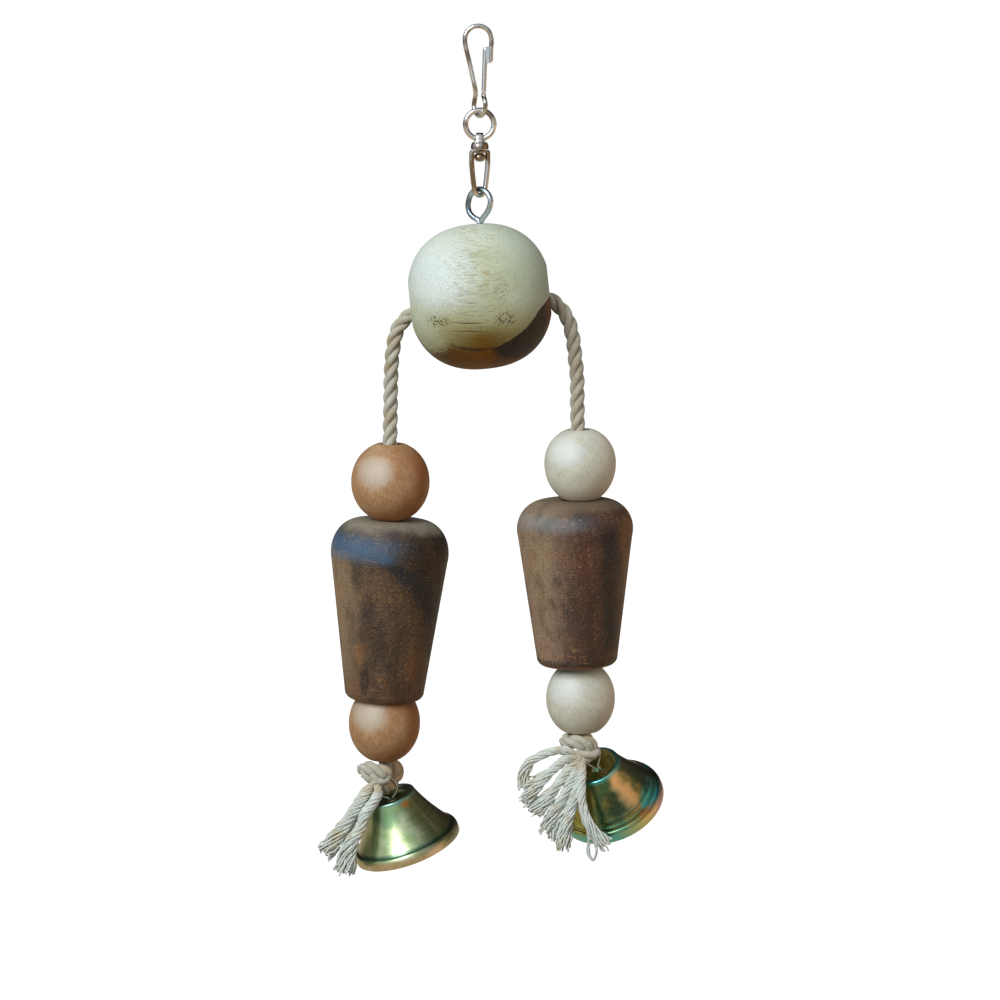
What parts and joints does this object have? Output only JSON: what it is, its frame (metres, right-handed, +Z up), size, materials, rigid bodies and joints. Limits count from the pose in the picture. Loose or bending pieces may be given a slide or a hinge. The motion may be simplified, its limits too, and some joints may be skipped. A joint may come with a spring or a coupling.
{
  "type": "rope climbing bird toy",
  "caption": "Hanging bird toy: a snap hook and swivel carry a drilled wooden ball, and the rope through it holds turned beads, cones, frayed knots and bells on both sides.",
  "frame": {"origin": "the point on the inside of the hook's bow that rests on the bar it hangs from", "axes": "+Z up, +X to the right seen from the front, the front faces -Y"},
  "size_m": [0.1402, 0.0584, 0.3417],
  "materials": {
    "nickel_wire": "bright nickel plate",
    "nickel_cast": "polished nickel plate",
    "zinc_screw": "bluish zinc plate",
    "pale_wood": "smooth bare wood with dark bark-like patches low on one side",
    "tan_wood": "satin turned wood",
    "ivory_wood": "satin pale wood",
    "dark_wood": "satin dark hardwood",
    "cotton_rope": "laid cotton",
    "bell_gold": "brushed greenish gold",
    "bell_bronze": "brushed olive with copper tones",
    "bell_wire": "plain wire",
    "clapper_steel": "dull steel"
  },
  "bodies": {
    "hook": {"snap_hook": "nickel_wire"},
    "gate": {"snap_gate": "nickel_wire"},
    "ring": {"connecting_ring": "nickel_wire"},
    "swivel_eye": {"swivel_eye": "nickel_cast"},
    "bail": {"swivel_bail": "nickel_cast"},
    "ball": {"wooden_ball": "pale_wood", "screw_eye": "zinc_screw"},
    "left_bend": {"left_rope_bend": "cotton_rope"},
    "left_strand": {"left_rope": "cotton_rope", "left_knot": "cotton_rope", "left_tassel": "cotton_rope"},
    "left_lower_bead": {"left_lower_bead": "tan_wood"},
    "left_cone": {"left_cone": "dark_wood"},
    "left_upper_bead": {"left_upper_bead": "tan_wood"},
    "left_bell": {"left_bell": "bell_gold", "left_bell_hanger": "bell_wire"},
    "left_clapper": {"left_clapper": "clapper_steel"},
    "right_bend": {"right_rope_bend": "cotton_rope"},
    "right_strand": {"right_rope": "cotton_rope", "right_knot": "cotton_rope", "right_tassel": "cotton_rope"},
    "right_lower_bead": {"right_lower_bead": "ivory_wood"},
    "right_cone": {"right_cone": "dark_wood"},
    "right_upper_bead": {"right_upper_bead": "ivory_wood"},
    "right_bell": {"right_bell": "bell_bronze", "right_bell_hanger": "bell_wire"},
    "right_clapper": {"right_clapper": "clapper_steel"}
  },
  "joints": [
    {"name": "gate_press", "type": "hinge", "parent": "hook", "child": "gate", "pos_m": [0.0022, 0, -0.0252], "axis": [0, -1, 0], "range_deg": [0, 14], "stiffness_Nm_per_rad": 0.12, "springref_deg": -5.73},
    {"name": "ring_swing", "type": "hinge", "parent": "hook", "child": "ring", "pos_m": [0.0006, 0, -0.0343], "axis": [0.5446, -0.8387, 0], "range_deg": [-25, 25]},
    {"name": "swivel_tilt", "type": "hinge", "parent": "ring", "child": "swivel_eye", "pos_m": [0.0006, 0, -0.04325], "axis": [1, 0, 0], "range_deg": [-35, 35]},
    {"name": "swivel_turn", "type": "hinge", "parent": "swivel_eye", "child": "bail", "pos_m": [0.0006, 0, -0.0483], "axis": [0, 0, 1], "continuous": true},
    {"name": "ball_swing", "type": "hinge", "parent": "bail", "child": "ball", "pos_m": [0.0006, 0, -0.0655], "axis": [0.8192, 0.5736, 0], "range_deg": [-25, 25]},
    {"name": "left_rope_swing", "type": "hinge", "parent": "ball", "child": "left_bend", "pos_m": [0.00088, 0, -0.10829], "axis": [0.9945, 0, 0.1045], "range_deg": [-35, 35]},
    {"name": "left_strand_swing", "type": "hinge", "parent": "left_bend", "child": "left_strand", "pos_m": [-0.0348, 0, -0.1371], "axis": [0, 1, 0], "range_deg": [-2.5, 40]},
    {"name": "left_stack_slide", "type": "slide", "parent": "left_strand", "child": "left_lower_bead", "axis": [0.0201, 0, 0.9998], "range_m": [0, 0.02]},
    {"name": "left_cone_spin", "type": "hinge", "parent": "left_lower_bead", "child": "left_cone", "pos_m": [-0.03812, 0, -0.26776], "axis": [0.0427, 0, 0.9991], "continuous": true},
    {"name": "left_upper_bead_spin", "type": "hinge", "parent": "left_lower_bead", "child": "left_upper_bead", "pos_m": [-0.03521, 0, -0.1797], "axis": [0.0201, 0, 0.9998], "continuous": true},
    {"name": "left_bell_swing", "type": "hinge", "parent": "left_strand", "child": "left_bell", "pos_m": [-0.03696, 0, -0.30439], "axis": [0, -1, 0], "range_deg": [0, 25]},
    {"name": "left_clapper_swing", "type": "hinge", "parent": "left_bell", "child": "left_clapper", "pos_m": [-0.0341, 0, -0.31287], "axis": [0, -1, 0], "range_deg": [-25, 25]},
    {"name": "right_rope_swing", "type": "hinge", "parent": "ball", "child": "right_bend", "pos_m": [0.00088, 0, -0.10829], "axis": [0.9945, 0, 0.1045], "range_deg": [-35, 35]},
    {"name": "right_strand_swing", "type": "hinge", "parent": "right_bend", "child": "right_strand", "pos_m": [0.0392, 0, -0.1366], "axis": [0, -1, 0], "range_deg": [-2.5, 40]},
    {"name": "right_stack_slide", "type": "slide", "parent": "right_strand", "child": "right_lower_bead", "axis": [-0.0157, 0, 0.9999], "range_m": [0, 0.02]},
    {"name": "right_cone_spin", "type": "hinge", "parent": "right_lower_bead", "child": "right_cone", "pos_m": [0.03969, 0, -0.25381], "axis": [-0.0192, 0, 0.9998], "continuous": true},
    {"name": "right_upper_bead_spin", "type": "hinge", "parent": "right_lower_bead", "child": "right_upper_bead", "pos_m": [0.04061, 0, -0.17208], "axis": [-0.0157, 0, 0.9999], "continuous": true},
    {"name": "right_bell_swing", "type": "hinge", "parent": "right_strand", "child": "right_bell", "pos_m": [0.04512, 0, -0.29063], "axis": [0, -1, 0], "range_deg": [0, 22]},
    {"name": "right_clapper_swing", "type": "hinge", "parent": "right_bell", "child": "right_clapper", "pos_m": [0.04892, 0, -0.30004], "axis": [0, -1, 0], "range_deg": [-25, 25]}
  ]
}
